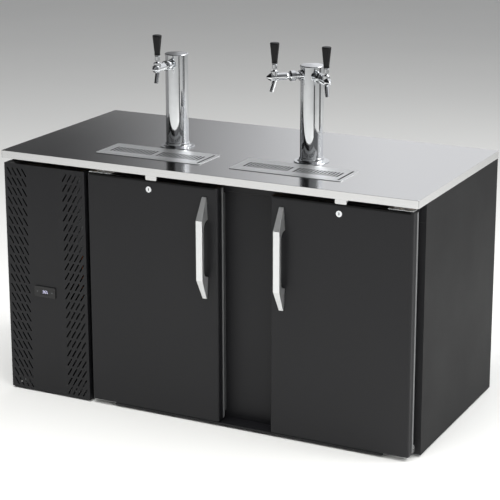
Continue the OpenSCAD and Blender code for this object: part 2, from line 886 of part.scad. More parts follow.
module louvre_panel() {
    room = 1;
    cut = rect_points([bezel_x - x_l, bezel_z - z_base], housing_w + 2 * room, housing_h + 2 * room);
    color("#2d2d2d") translate([x_l, y_door, z_base])
        pierced_sheet([[0, 0], [panel_w, 0], [panel_w, panel_h], [0, panel_h]],
                      concat(louvre_slots(panel_h), [cut]), sheet);
}

// The four folded rails that carry the louvred sheet in front of the cabinet
module panel_frame() {
    rail_short = 20;
    color("#262626") {
        for (x = [x_l, x_panel - sheet])
            block([x, y_door + sheet, z_base], [x + sheet, y_cab, door_z1]);
        for (z = [z_base, door_z1 - sheet])
            block([x_l + sheet + butt_gap, y_door + sheet, z],
                  [x_panel - sheet - butt_gap, y_cab - rail_short, z + sheet]);
    }
}

module controller_housing() {
    win_w = 38;
    win_h = 18;
    win_depth = 1;
    corner = 3;
    color("#161616") difference() {
        union() {
            translate([bezel_x, y_door, bezel_z]) rotate([90, 0, 0])
                linear_extrude(bezel_t) rounded_rect(bezel_w, bezel_h, corner);
            block([bezel_x - housing_w / 2, y_door, bezel_z - housing_h / 2],
                  [bezel_x + housing_w / 2, y_door + housing_len, bezel_z + housing_h / 2]);
        }
        block([bezel_x - win_w / 2, y_door - bezel_t - over, bezel_z - win_h / 2],
              [bezel_x + win_w / 2, y_door - bezel_t + win_depth, bezel_z + win_h / 2]);
        for (s = [-1, 1])
            translate([bezel_x + s * key_x, y_door - bezel_t - over, bezel_z]) rotate([-90, 0, 0])
                cylinder(d = key_d + 2 * clear, h = over + key_depth + key_travel + clear);
    }
}

module key(s) {
    color("#8f8f8f")
        translate([bezel_x + s * key_x, y_door - bezel_t - key_out, bezel_z]) rotate([-90, 0, 0])
            cylinder(d = key_d, h = key_out + key_depth);
}

// Cooling unit in the machine compartment
module unit_base() {
    x0 = bay_x - unit_w / 2;
    x1 = bay_x + unit_w / 2;
    color("#9a9da0") {
        block([x0, unit_y0, z_floor], [x1, unit_y1, z_unit]);
        for (x = [x0, x1 - unit_t])
            block([x, unit_y0, z_unit], [x + unit_t, unit_y1, z_unit + unit_lip]);
    }
}

module compressor() {
    r = compressor_d / 2;
    dome = 34;
    seam_z = compressor_h * 0.55;
    seam_h = 6;
    seam_out = 5;
    step = 3;
    foot = compressor_d * 0.42;
    foot_r = 12;
    plate_t = 3;
    box = [60, 34, 50];
    profile = concat([[0, 0], [r - dome, 0]], arc([r - dome, dome], dome, -90, 0, 6),
        [[r, seam_z], [r + seam_out, seam_z], [r + seam_out, seam_z + seam_h], [r - step, seam_z + seam_h]],
        arc([r - step - dome, compressor_h - dome], dome, 0, 90, 6), [[0, compressor_h]]);
    color("#151515") translate([bay_x, comp_y, z_comp]) {
        rotate_extrude() polygon(profile);
        for (sx = [-1, 1], sy = [-1, 1])
            translate([sx * foot, sy * foot, -comp_foot]) cylinder(r = foot_r, h = comp_foot + plate_t);
        translate([-foot - foot_r, -foot - foot_r, 0])
            cube([2 * (foot + foot_r), 2 * (foot + foot_r), plate_t]);
        translate([-box[0] / 2, -r - box[1] + foot_r / 2, compressor_h * 0.25]) cube(box);
        for (x = [discharge_x, suction_x])
            translate([x, 0, compressor_h - stub_root]) cylinder(d = stub_d, h = stub_root + stub_len);
    }
}

// The fin pack is a comb on both faces, between two end plates joined by return bends
module condenser_coil() {
    fin_step = 8;
    fin_t = 3;
    fin_h = 9;
    end_t = 2;
    inner_w = cond_w - 2 * end_t;
    n = floor(inner_w / fin_step);
    core0 = (inner_w - (n - 1) * fin_step) / 2;
    teeth = [for (k = [0 : n - 1]) core0 + k * fin_step];
    tooth = fin_t / 2;
    front = [for (x = teeth, p = [[-tooth, fin_h], [-tooth, 0], [tooth, 0], [tooth, fin_h]])
        [x + p[0], p[1]]];
    back = [for (k = [n - 1 : -1 : 0], p = [[tooth, fin_h], [tooth, 0], [-tooth, 0], [-tooth, fin_h]])
        [teeth[k] + p[0], condenser_t - p[1]]];
    comb = concat([[0, fin_h]], front, [[inner_w, fin_h], [inner_w, condenser_t - fin_h]], back,
        [[0, condenser_t - fin_h]]);
    x0 = bay_x - cond_w / 2;
    bends = 4;
    bend_step = condenser_h / bends;
    bend_r = 10;
    color("#a9704c") {
        translate([x0 + end_t, cond_y, z_unit]) linear_extrude(condenser_h) polygon(comb);
        for (x = [x0, x0 + cond_w - end_t])
            block([x, cond_y, z_unit], [x + end_t, cond_y + condenser_t, z_unit + condenser_h]);
        for (k = [0 : bends - 1])
            translate([x0, cond_y + condenser_t / 2, z_unit + bend_step * (k + 0.5)])
                rotate([90, 0, 0]) rotate([0, 0, 90]) rotate_extrude(angle = 180)
                    translate([bend_r, 0]) circle(d = pipe_d);
        for (x = [discharge_x, liquid_x])
            translate([bay_x + x, cond_y + condenser_t / 2, z_unit + condenser_h - stub_root])
                cylinder(d = stub_d, h = stub_root + stub_len);
    }
}

module fan_shroud() {
    r = fan_d / 2 + ring_gap;
    x0 = bay_x - cond_w / 2;
    arm_y = motor_y + 10;
    arm = 12;
    arm_t = 2;
    clamp_t = 3;
    clamp_len = 16;
    color("#5b5e60") {
        difference() {
            union() {
                block([x0, shroud_y, z_unit], [x0 + cond_w, shroud_y + shroud_t, z_unit + condenser_h]);
                translate([bay_x, shroud_y, fan_z]) rotate([-90, 0, 0])
                    cylinder(r = r + shroud_t, h = ring_len);
            }
            translate([bay_x, shroud_y - over, fan_z]) rotate([-90, 0, 0])
                cylinder(r = r, h = ring_len + 2 * over);
        }
        difference() {
            union() {
                for (a = [0 : 120 : 240])
                    translate([bay_x, arm_y, fan_z]) rotate([0, a, 0])
                        translate([-arm / 2, 0, motor_d / 2])
                            cube([arm, arm_t, r + shroud_t - motor_d / 2]);
                for (a = [0 : 120 : 240])
                    translate([bay_x, shroud_y + shroud_t, fan_z]) rotate([0, a, 0])
                        translate([-arm / 2, 0, r + shroud_t / 2])
                            cube([arm, arm_y + arm_t - shroud_y - shroud_t, arm_t]);
                translate([bay_x, arm_y, fan_z]) rotate([-90, 0, 0])
                    cylinder(d = motor_d + 2 * clamp_t, h = clamp_len);
            }
            translate([bay_x, arm_y - over, fan_z]) rotate([-90, 0, 0])
                cylinder(d = motor_d + clear, h = clamp_len + 2 * over);
        }
    }
}

module condenser_fan_motor() {
    color("#6d7072") translate([bay_x, motor_y, fan_z]) rotate([-90, 0, 0]) {
        cylinder(d = motor_d, h = motor_len);
        translate([0, 0, -hub_len - motor_gap]) cylinder(d = shaft_d, h = hub_len + motor_gap);
    }
}

// Fan with pitched blades, turned about Z, blowing along Z
module fan(d, hub_d, hub_h, bore, blades, pitch, blade_t) {
    difference() {
        union() {
            cylinder(d = hub_d, h = hub_h);
            intersection() {
                cylinder(d = d, h = hub_h);
                for (k = [0 : blades - 1])
                    rotate([0, 0, 360 / blades * k]) translate([0, 0, hub_h / 2]) rotate([pitch, 0, 0])
                        translate([hub_d / 2 - blade_t, -d / 6, -blade_t / 2])
                            cube([d / 2, d / 3, blade_t]);
            }
        }
        translate([0, 0, -over]) cylinder(d = bore, h = hub_h + 2 * over);
    }
}

module condenser_fan() {
    color("#3c3f42") translate([bay_x, fan_y, fan_z]) rotate([-90, 0, 0])
        fan(fan_d, hub_d, hub_len, shaft_d + 2 * clear, 5, 24, 2);
}

// Pipes between the compressor, the condenser and the evaporator
module refrigerant_lines() {
    y_coil = cond_y + condenser_t / 2;
    z_coil = z_unit + condenser_h + stub_len;
    z_shell = z_comp + compressor_h + stub_len;
    z_run = max(z_shell, z_coil) + 40;
    drier_d = 26;
    drier_len = 100;
    x_out = bay_x + discharge_x;
    x_back = bay_x + suction_x;
    x_feed = bay_x + liquid_x;
    color("#b87333") {
        pipe([[x_out, comp_y, z_shell], [x_out, comp_y, z_run], [x_out, y_coil, z_run],
              [x_out, y_coil, z_coil]], pipe_bend, pipe_d);
        pipe([[x_back, comp_y, z_shell], [x_back, comp_y, suction_z], [x_back, lines_y, suction_z],
              [x_keg0, lines_y, suction_z]], pipe_bend, pipe_d);
        pipe([[x_feed, y_coil, z_coil], [x_feed, y_coil, liquid_z], [x_feed, lines_y, liquid_z],
              [x_keg0, lines_y, liquid_z]], pipe_bend, pipe_d);
        translate([x_feed, (y_coil + lines_y - drier_len) / 2, liquid_z]) rotate([-90, 0, 0])
            cylinder(d = drier_d, h = drier_len);
    }
}

// Evaporator inside the keg compartment
module evaporator_cover() {
    x1 = x_keg0 + evap_t;
    y1 = evap_y0 + evap_len;
    r = evap_fan_d / 2 + guard_gap;
    guard = [0.3, 0.6];
    color("#d4d6d8") {
        difference() {
            block([x_keg0, evap_y0, evap_z0], [x1, y1, evap_z1]);
            block([x_keg0 - over, evap_y0 + evap_wall, evap_z0 + evap_wall],
                  [x1 - evap_wall, y1 - evap_wall, evap_z1 - evap_wall]);
            translate([x1 - evap_wall - over, evap_fan_y, evap_fan_z]) rotate([0, 90, 0])
                cylinder(r = r, h = evap_wall + 2 * over);
            for (k = [-2 : 2]) {
                z = evap_fan_z + k * cover_slot_step;
                block([x_keg0 + cover_slot_in, evap_y0 - over, z - cover_slot_h / 2],
                      [x1 - cover_slot_in, y1 + over, z + cover_slot_h / 2]);
            }
        }
        translate([x1 - evap_wall, evap_fan_y, evap_fan_z]) rotate([0, 90, 0]) linear_extrude(evap_wall) {
            for (g = guard) difference() {
                circle(r * g + guard_w / 2);
                circle(r * g - guard_w / 2);
            }
            for (a = [45, 135]) rotate(a) square([2 * r + evap_wall, guard_w], center = true);
        }
    }
}

module evaporator_coil() {
    fin_step = 10;
    fin_t = 4;
    fin_h = 12;
    edge = 15;
    w = evap_len - 2 * edge;
    n = floor(w / fin_step);
    start = (w - (n - 1) * fin_step) / 2;
    tooth = fin_t / 2;
    root = coil_t - fin_h;
    comb = concat([[0, 0], [0, root]],
        [for (k = [0 : n - 1], p = [[-tooth, root], [-tooth, coil_t], [tooth, coil_t], [tooth, root]])
            [start + k * fin_step + p[0], p[1]]],
        [[w, root], [w, 0]]);
    color("#b9bcc0") translate([x_keg0, evap_y0 + edge, evap_z0 + edge])
        linear_extrude(evap_h - 2 * edge)
            polygon([for (p = comb) [p[1], p[0]]]);
}

module evaporator_fan_motor() {
    strap = 14;
    strap_t = 2;
    shell_d = 46;
    color("#75787a") {
        translate([evap_motor_x, evap_fan_y, evap_fan_z]) rotate([0, 90, 0]) {
            cylinder(d = shell_d, h = evap_motor_len);
            cylinder(d = evap_shaft_d, h = evap_motor_len + evap_hub_gap + evap_hub_len);
        }
        block([evap_motor_x, evap_fan_y - strap / 2, evap_z0 + evap_wall],
              [evap_motor_x + strap_t, evap_fan_y + strap / 2, evap_z1 - evap_wall]);
    }
}

module evaporator_fan() {
    hub = 36;
    color("#e6e6e6") translate([evap_hub_x, evap_fan_y, evap_fan_z]) rotate([0, 90, 0])
        fan(evap_fan_d, hub, evap_hub_len, evap_shaft_d + 2 * clear, 5, 22, 1.6);
}

// Towers
module tower_column(s) {
    x = s * station_x;
    inner = col_r - tower_wall;
    rim = flange_d / 2;
    collar = col_r + 3;
    lip = 3;
    fillet = 6;
    profile = concat([[inner, 0], [rim - 1, 0], [rim, 1], [rim, lip - 1], [rim - 1, lip]],
        arc([collar + fillet, lip + fillet], fillet, 270, 180, 5),
        [[collar, collar_h - 1], [collar - 1, collar_h], [col_r, collar_h], [col_r, tower_h],
         [inner, tower_h]]);
    color("#d5d8da") difference() {
        translate([x, y_tower, worktop_z]) rotate_extrude() polygon(profile);
        for (t = taps)
            if (t[0] == x)
                at_tap(t) rotate([90, 0, 0]) cylinder(d = shank_d + 2 * snug, h = 2 * col_r);
    }
}

module tower_caps() {
    plug_r = col_r - tower_wall - clear;
    top_r = col_r + cap_lip;
    edge = 3;
    dome = 2.5;
    profile = concat([[0, -cap_plug], [plug_r, -cap_plug], [plug_r, 0], [top_r, 0]],
        arc([top_r - edge, cap_h - edge - dome], edge, 0, 75, 4), [[0, cap_h]]);
    color("#dadde0")
        for (s = [-1, 1])
            translate([s * station_x, y_tower, worktop_z + tower_h]) rotate_extrude() polygon(profile);
}

module beer_lines() {
    bend = 10;
    below = 30;
    drop = z_tap - z_keg1 + below - bend;
    nut_h = 10;
    flats = line_d + 3;
    inlet_d = line_d - 1.5;
    inlet_len = 14;
    color("#cfd6d8")
        for (t = taps)
            at_tap(t) {
                translate([0, -shank_tail, -bend]) rotate([90, 0, 90]) rotate_extrude(angle = 90)
                    translate([bend, 0]) circle(d = line_d);
                translate([0, bend - shank_tail, -bend - drop]) cylinder(d = line_d, h = drop);
                translate([0, bend - shank_tail, -bend - drop - nut_h])
                    cylinder(d = flats, h = nut_h, $fn = 6);
                translate([0, bend - shank_tail, -bend - drop - nut_h - inlet_len])
                    cylinder(d = inlet_d, h = inlet_len);
            }
}

// Faucets
module faucet_shanks() {
    tail_w = line_d / 2 + neck_wall;
    neck_at = shank_tail + shank_neck;
    r = shank_d / 2;
    bore = shank_bore / 2;
    inlet = bore - inlet_step;
    inlet_at = shank_tail + shank_stop;
    step_at = neck_at + inlet_run;
    color("#cdd0d2")
        for (t = taps)
            at_tap(t) difference() {
                union() {
                    turned_out([[0, shank_tail], [tail_w, shank_tail], [tail_w, neck_at],
                                [r, neck_at], [r, shank_end], [0, shank_end]]);
                    difference() {
                        rotate([90, 0, 0]) translate([0, 0, col_r - saddle_in])
                            cylinder(r = saddle_r, h = saddle_in + saddle_out);
                        translate([0, 0, -2 * saddle_r]) cylinder(r = col_r + snug / 2, h = 4 * saddle_r);
                    }
                }
                turned_out([[0, inlet_at], [inlet, inlet_at], [inlet, step_at],
                            [bore, step_at], [bore, shank_end + over], [0, shank_end + over]]);
            }
}

module shank_nuts() {
    lip_at = nut_end - nut_lip;
    pocket_r = flange_r + clear;
    thread_r = shank_d / 2 + snug;
    color("#d2d5d7")
        for (t = taps)
            at_tap(t) turned_out([[thread_r, nut_start], [nut_r - nut_chamfer, nut_start],
                [nut_r, nut_start + nut_chamfer], [nut_r, lip_at], [nut_r - 2 * nut_chamfer, nut_end],
                [tail_r + clear, nut_end], [tail_r + clear, lip_at], [pocket_r, lip_at],
                [pocket_r, shank_end], [thread_r, shank_end]]);
}

module faucet_bodies() {
    boss_r = 12;
    slot_back = (pivot_w - bore_r) * tan(tap_open) + 2 * pin_r;
    slot_ahead = 3;
    slot_half = 3.2;
    spout_top = 8;
    spout_end = 6.8;
    spout_bore = 4.5;
    nose_r = 6;
    shape = concat([[0, body_start], [flange_r, body_start], [flange_r, body_start + tail_flange],
        [tail_r, body_start + tail_flange], [tail_r, neck_end], [barrel_r, barrel_start],
        [barrel_r, tap_reach + 14]], arc([0, nose_end - nose_r], nose_r, 40, 90, 4));
    color("#d5d8da")
        for (t = taps)
            at_tap(t) difference() {
                union() {
                    turned_out(shape);
                    translate([0, -tap_reach, 0]) cylinder(r = boss_r, h = bonnet_w0);
                    translate([0, -spout_at, 0]) rotate([180 - spout_lean, 0, 0])
                        cylinder(r1 = spout_top, r2 = spout_end, h = spout_len);
                }
                turned_out([[0, body_start - over], [chamber_r, body_start - over],
                    [chamber_r, seat_at], [bore_r, seat_at], [bore_r, tap_reach + 16],
                    [0, tap_reach + 16]]);
                translate([0, -tap_reach, pivot_w - ball_r - clear])
                    cylinder(r = ball_r + ball_gap, h = 2 * ball_r);
                block([-slot_half, -tap_reach - slot_ahead, 0],
                      [slot_half, -tap_reach + slot_back, pivot_w - ball_r]);
                translate([0, -spout_at, 0]) rotate([180 - spout_lean, 0, 0])
                    cylinder(r = spout_bore, h = spout_len + over);
            }
}

module lever_bonnets() {
    waist = pivot_w + bonnet_waist;
    socket = ball_r + ball_gap;
    color("#d9dcde")
        for (t = taps)
            at_tap(t) translate([0, -tap_reach, 0]) rotate_extrude()
                polygon([[socket, bonnet_w0], [bonnet_r, bonnet_w0], [bonnet_r, waist],
                         [bonnet_r - bonnet_chamfer, bonnet_w1], [ball_r - ball_gap, bonnet_w1],
                         [socket, waist]]);
}

// Lever: pivot ball, pin into the shaft, stem, ferrule and threaded stud
module tap_lever(i) {
    bead = 1.2;
    color("#dcdfe1") at_tap(taps[i]) translate([0, -tap_reach, 0]) {
        translate([0, 0, pivot_w]) sphere(r = ball_r);
        cylinder(r = pin_r, h = pivot_w);
        sphere(r = tip_r);
        translate([0, 0, pivot_w]) cylinder(r = stem_r, h = ferrule_w0 + 1 - pivot_w);
        rotate_extrude() polygon([[0, ferrule_w0], [ferrule_r - bead, ferrule_w0],
            [ferrule_r, ferrule_w0 + bead], [ferrule_r, ferrule_w1 - 3 * bead],
            [ferrule_r - bead, ferrule_w1 - 2 * bead], [ferrule_r, ferrule_w1 - bead],
            [ferrule_r, ferrule_w1], [0, ferrule_w1]]);
        translate([0, 0, ferrule_w1]) cylinder(r = stud_r, h = stud_len);
    }
}

module tap_handle(i) {
    foot = knob_foot_d / 2;
    top = knob_top_d / 2;
    edge = 3;
    base = 8;
    crown = 0.6;
    color("#141414") at_tap(taps[i]) translate([0, -tap_reach, ferrule_w1]) difference() {
        rotate_extrude()
            polygon(concat([[0, 0], [foot - crown, 0], [foot, crown], [foot, base],
                            [top, knob_h - 2 * edge]],
                           arc([top - edge, knob_h - edge], edge, 0, 80, 4), [[0, knob_h + crown]]));
        translate([0, 0, -over]) cylinder(r = stud_r + snug, h = stud_len + snug + over);
    }
}

// Valve shaft: it shuts against the seat from behind and is pushed back by the lever's pin
module tap_shaft(i) {
    valve_t = 5;
    front_end = tap_reach + 10;
    eye = tip_r + ball_gap;
    shut = seat_at - clear;
    color("#9ea2a5") at_tap(taps[i]) difference() {
        turned_out([[0, shut - valve_t], [valve_r, shut - valve_t], [valve_r, shut], [shaft_r, shut],
            [shaft_r, front_end], [0, front_end]]);
        translate([0, -tap_reach, -shaft_r - over]) cylinder(r = eye, h = 2 * (shaft_r + over));
        block([-eye, -tap_reach - 2 * tip_r, tip_r - 0.5], [eye, -tap_reach, shaft_r + over]);
    }
}

side_panels();
back_panel();
base_pan();
levelling_feet();
foam_insulation();
inner_liner();
front_frame();
worktop();
worktop_core();
drip_pan(-station_x);  // drip_pan_left
drip_pan(station_x);  // drip_pan_right
lock_strikes();
hinge_brackets();
louvre_panel();
panel_frame();
controller_housing();
unit_base();
compressor();
condenser_coil();
fan_shroud();
condenser_fan_motor();
refrigerant_lines();
evaporator_cover();
evaporator_coil();
evaporator_fan_motor();
tower_column(-1);  // tower_column_left
tower_column(1);  // tower_column_right
tower_caps();
beer_lines();
faucet_shanks();
shank_nuts();
faucet_bodies();
lever_bonnets();
condenser_fan();
evaporator_fan();
key(-1);  // key_left
key(1);  // key_right
drip_grid(-station_x);  // drip_grid_left
drip_grid(station_x);  // drip_grid_right
tap_lever(0);  // tap_lever_1
tap_lever(1);  // tap_lever_2
tap_lever(2);  // tap_lever_3
tap_handle(0);  // tap_handle_1
tap_handle(1);  // tap_handle_2
tap_handle(2);  // tap_handle_3
tap_shaft(0);  // tap_shaft_1
tap_shaft(1);  // tap_shaft_2
tap_shaft(2);  // tap_shaft_3
door_panel(x_door1, left_door_w, -1, left_lock_x);  // left_door_panel
door_liner(x_door1, left_door_w);  // left_door_liner
door_gasket(x_door1, left_door_w, -1);  // left_door_gasket
door_handle(x_mid1 - left_handle_in);  // left_door_handle
lock_barrel(left_lock_x);  // left_lock_barrel
lock_plug(left_lock_x, -1);  // left_lock_plug
door_panel(x_mid2, right_door_w, 1, right_lock_x);  // right_door_panel
door_liner(x_mid2, right_door_w);  // right_door_liner
door_gasket(x_mid2, right_door_w, 1);  // right_door_gasket
door_handle(x_mid2 + right_handle_in);  // right_door_handle
lock_barrel(right_lock_x);  // right_lock_barrel
lock_plug(right_lock_x, 1);  // right_lock_plug
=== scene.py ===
import math

import bmesh
import bpy
from mathutils import Matrix, Vector


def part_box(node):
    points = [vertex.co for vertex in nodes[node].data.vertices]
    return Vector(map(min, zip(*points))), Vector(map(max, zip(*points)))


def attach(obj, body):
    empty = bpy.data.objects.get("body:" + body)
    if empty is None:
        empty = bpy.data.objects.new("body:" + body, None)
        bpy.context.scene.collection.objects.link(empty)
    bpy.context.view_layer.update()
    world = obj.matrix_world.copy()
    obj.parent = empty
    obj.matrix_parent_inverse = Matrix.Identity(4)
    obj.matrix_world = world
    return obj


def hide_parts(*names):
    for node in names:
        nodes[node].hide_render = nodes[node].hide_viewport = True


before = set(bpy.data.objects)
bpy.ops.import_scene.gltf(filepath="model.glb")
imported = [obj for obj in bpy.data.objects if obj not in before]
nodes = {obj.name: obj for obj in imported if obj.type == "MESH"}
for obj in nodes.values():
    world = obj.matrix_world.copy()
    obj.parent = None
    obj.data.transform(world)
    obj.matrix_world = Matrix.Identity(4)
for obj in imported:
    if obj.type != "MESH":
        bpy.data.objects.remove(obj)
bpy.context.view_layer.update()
print("frame loaded:", len(nodes), "nodes")

# camera as the photograph has it: a long lens from the right, looking down on the worktop
shot = {
    "lens": 121.75,
    "shift": (-0.024, -0.1),
    "azimuth": 26.39,
    "elevation": 14.84,
    "distance": 5.6956,
    "target": (0.04532, 0.014, 0.68305),
    "sensor": 36,
    "clip": 200,
}


def placeCamera(s):
    data = bpy.data.cameras.new("camera")
    data.lens = s["lens"]
    data.sensor_width = s["sensor"]
    data.shift_x, data.shift_y = s["shift"]
    data.clip_end = s["clip"]
    a, e = math.radians(s["azimuth"]), math.radians(s["elevation"])
    back = Vector((math.sin(a) * math.cos(e), -math.cos(a) * math.cos(e), math.sin(e)))
    cam = bpy.data.objects.new("camera", data)
    cam.location = Vector(s["target"]) + back * s["distance"]
    cam.rotation_euler = (-back).to_track_quat("-Z", "Y").to_euler()
    bpy.context.scene.collection.objects.link(cam)
    bpy.context.scene.camera = cam
    bpy.context.scene.view_settings.view_transform = "Standard"  # colours as the hex values give them


placeCamera(shot)
print("camera placed")


def linear(code):
    # sRGB hex to linear colour
    parts = [int(code[i:i + 2], 16) / 255 for i in (1, 3, 5)]
    return [p / 12.92 if p <= 0.04045 else ((p + 0.055) / 1.055) ** 2.4 for p in parts] + [1.0]


def addNode(tree, kind, inputs=None, to=None, **settings):
    # one node with its settings, its inputs as values or as sockets to link, and where its output goes
    node = tree.nodes.new(kind)
    for key, value in settings.items():
        setattr(node, key, value)
    for key, value in (inputs or {}).items():
        if isinstance(value, bpy.types.NodeSocket):
            tree.links.new(value, node.inputs[key])
        else:
            node.inputs[key].default_value = value
    if to:
        tree.links.new(node.outputs[to[0]], to[1])
    return node


def newMaterial(name, fixed):
    mat = bpy.data.materials.new(name)
    mat.use_nodes = True
    tree = mat.node_tree
    shader = tree.nodes["Principled BSDF"].inputs
    for key, value in fixed.items():
        shader[key].default_value = value
    place = addNode(tree, "ShaderNodeTexCoord").outputs["Object"]
    return mat, tree, shader, place


def vinylSteel(name, dark, light, rough, gloss):
    # steel sheet under a black vinyl film: a fine pebbled skin, satin, faintly cloudy
    mat, tree, shader, place = newMaterial(name, {"IOR": 1.52, "Specular IOR Level": gloss})
    # clouds of 200 mm, and a pebble of 1.4 mm, so that it shows
    cloud = addNode(tree, "ShaderNodeTexNoise", {"Vector": place, "Scale": 5.0, "Detail": 3.0}).outputs[0]
    addNode(tree, "ShaderNodeMix", {0: cloud, 6: linear(dark), 7: linear(light)},
            (2, shader["Base Color"]), data_type="RGBA")
    addNode(tree, "ShaderNodeMapRange", {0: cloud, 1: 0.3, 2: 0.7, 3: rough - 0.03, 4: rough + 0.03},
            (0, shader["Roughness"]))
    pebble = addNode(tree, "ShaderNodeTexNoise", {"Vector": place, "Scale": 700.0}).outputs[0]
    addNode(tree, "ShaderNodeBump", {"Height": pebble, "Distance": 0.0001}, (0, shader["Normal"]))
    return mat


def brushedSteel(name, dark, light, rough, grain, slot_shade=None):
    # stainless sheet ground along one axis: long scratches, 1.1 mm apart, that draw out the reflections
    # the optional pair gives the height of a punched sheet's face and a near-black tone painted on the slot
    # walls below it as painted shade
    mat, tree, shader, place = newMaterial(name, {"Metallic": 1.0})
    along = addNode(tree, "ShaderNodeMapping", {"Vector": place, "Scale": grain}).outputs[0]
    lines = addNode(tree, "ShaderNodeTexNoise", {"Vector": along, "Scale": 900.0}).outputs[0]
    ground = addNode(tree, "ShaderNodeMix", {0: lines, 6: linear(dark), 7: linear(light)},
                     (2, shader["Base Color"]), data_type="RGBA").outputs[2]
    addNode(tree, "ShaderNodeMapRange", {0: lines, 1: 0.3, 2: 0.7, 3: rough - 0.03, 4: rough + 0.03},
            (0, shader["Roughness"]))
    addNode(tree, "ShaderNodeBump", {"Height": lines, "Distance": 0.00001}, (0, shader["Normal"]))
    if slot_shade:
        tall = addNode(tree, "ShaderNodeSeparateXYZ", {0: place}).outputs[2]
        level, slot_wall_shade = slot_shade
        above = addNode(tree, "ShaderNodeMapRange",
                        {0: tall, 1: level - 0.0002, 2: level - 0.0001}).outputs[0]
        # below the face, the slot walls take the near-black painted shade
        addNode(tree, "ShaderNodeMix", {0: above, 6: linear(slot_wall_shade), 7: ground},
                (2, shader["Base Color"]), data_type="RGBA")
    return mat


def drawnPan(name, rim, bowl_shade_tones, rough, level):
    # drawn stainless pan: a clean satin rim, and below it a bowl coloured near black as painted shade under
    # the grid, with random clouds of 17 mm
    mat, tree, shader, place = newMaterial(name, {"Metallic": 1.0})
    tall = addNode(tree, "ShaderNodeSeparateXYZ", {0: place}).outputs[2]
    above = addNode(tree, "ShaderNodeMapRange", {0: tall, 1: level - 0.0006, 2: level}).outputs[0]
    haze = addNode(tree, "ShaderNodeTexNoise", {"Vector": place, "Scale": 60.0, "Detail": 3.0}).outputs[0]
    # the bowl's near-black tones are painted shade, not the steel's own colour
    painted_bowl_shade = addNode(tree, "ShaderNodeMix", {0: haze, 6: linear(bowl_shade_tones[0]), 7: linear(bowl_shade_tones[1])},
                   data_type="RGBA").outputs[2]
    addNode(tree, "ShaderNodeMix", {0: above, 6: painted_bowl_shade, 7: linear(rim)},
            (2, shader["Base Color"]), data_type="RGBA")
    addNode(tree, "ShaderNodeMapRange", {0: haze, 1: 0.3, 2: 0.7, 3: rough - 0.04, 4: rough + 0.04},
            (0, shader["Roughness"]))
    return mat


def polishedChrome(name, dark, light, rough):
    # chromium plate on brass, buffed: mirror gloss with a trace of haze in clouds of 25 mm
    mat, tree, shader, place = newMaterial(name, {"Metallic": 1.0})
    haze = addNode(tree, "ShaderNodeTexNoise", {"Vector": place, "Scale": 40.0}).outputs[0]
    addNode(tree, "ShaderNodeMix", {0: haze, 6: linear(dark), 7: linear(light)},
            (2, shader["Base Color"]), data_type="RGBA")
    addNode(tree, "ShaderNodeMapRange", {0: haze, 1: 0.3, 2: 0.7, 3: rough, 4: rough + 0.03},
            (0, shader["Roughness"]))
    return mat


def mouldedPlastic(name, dark, light, rough, grit=900.0, depth=0.00004, gloss=0.5):
    # injection moulded plastic: even colour with faint clouds of 25 mm, a slight grain from the mould
    mat, tree, shader, place = newMaterial(name, {"IOR": 1.5, "Specular IOR Level": gloss})
    cloud = addNode(tree, "ShaderNodeTexNoise", {"Vector": place, "Scale": 40.0}).outputs[0]
    addNode(tree, "ShaderNodeMix", {0: cloud, 6: linear(dark), 7: linear(light)},
            (2, shader["Base Color"]), data_type="RGBA")
    addNode(tree, "ShaderNodeMapRange", {0: cloud, 1: 0.3, 2: 0.7, 3: rough - 0.04, 4: rough + 0.04},
            (0, shader["Roughness"]))
    grain = addNode(tree, "ShaderNodeTexNoise", {"Vector": place, "Scale": grit}).outputs[0]
    addNode(tree, "ShaderNodeBump", {"Height": grain, "Distance": depth}, (0, shader["Normal"]))
    return mat


def plainMetal(name, dark, light, rough, scale=45.0, metal=1.0):
    # rolled or cast metal with a dull skin: cloudy spangle and a 2 mm ripple, no polish;
    # a matt plating, with metal under 1, scatters part of the light
    mat, tree, shader, place = newMaterial(name, {"Metallic": metal})
    spangle = addNode(tree, "ShaderNodeTexNoise",
                      {"Vector": place, "Scale": scale, "Detail": 3.0}).outputs[0]
    addNode(tree, "ShaderNodeMix", {0: spangle, 6: linear(dark), 7: linear(light)},
            (2, shader["Base Color"]), data_type="RGBA")
    addNode(tree, "ShaderNodeMapRange", {0: spangle, 1: 0.3, 2: 0.7, 3: rough - 0.05, 4: rough + 0.05},
            (0, shader["Roughness"]))
    skin = addNode(tree, "ShaderNodeTexNoise", {"Vector": place, "Scale": 500.0}).outputs[0]
    addNode(tree, "ShaderNodeBump", {"Height": skin, "Distance": 0.00004}, (0, shader["Normal"]))
    return mat


def rigidFoam(name, dark, light):
    # poured polyurethane: matt, with small open cells of 2.5 mm on its cut face
    mat, tree, shader, place = newMaterial(name, {"IOR": 1.45, "Roughness": 0.9})
    cells = addNode(tree, "ShaderNodeTexVoronoi", {"Vector": place, "Scale": 400.0})
    addNode(tree, "ShaderNodeMix", {0: cells.outputs["Distance"], 6: linear(dark), 7: linear(light)},
            (2, shader["Base Color"]), data_type="RGBA")
    addNode(tree, "ShaderNodeBump", {"Height": cells.outputs["Distance"], "Distance": 0.0004},
            (0, shader["Normal"]))
    return mat


def chipboard(name, dark, light):
    # pressed wood chips: flakes of about 5.5 mm in two browns
    mat, tree, shader, place = newMaterial(name, {"IOR": 1.5, "Roughness": 0.8})
    chips = addNode(tree, "ShaderNodeTexVoronoi", {"Vector": place, "Scale": 180.0})
    addNode(tree, "ShaderNodeMix", {0: chips.outputs["Color"], 6: linear(dark), 7: linear(light)},
            (2, shader["Base Color"]), data_type="RGBA")
    addNode(tree, "ShaderNodeBump", {"Height": chips.outputs["Distance"], "Distance": 0.0002},
            (0, shader["Normal"]))
    return mat


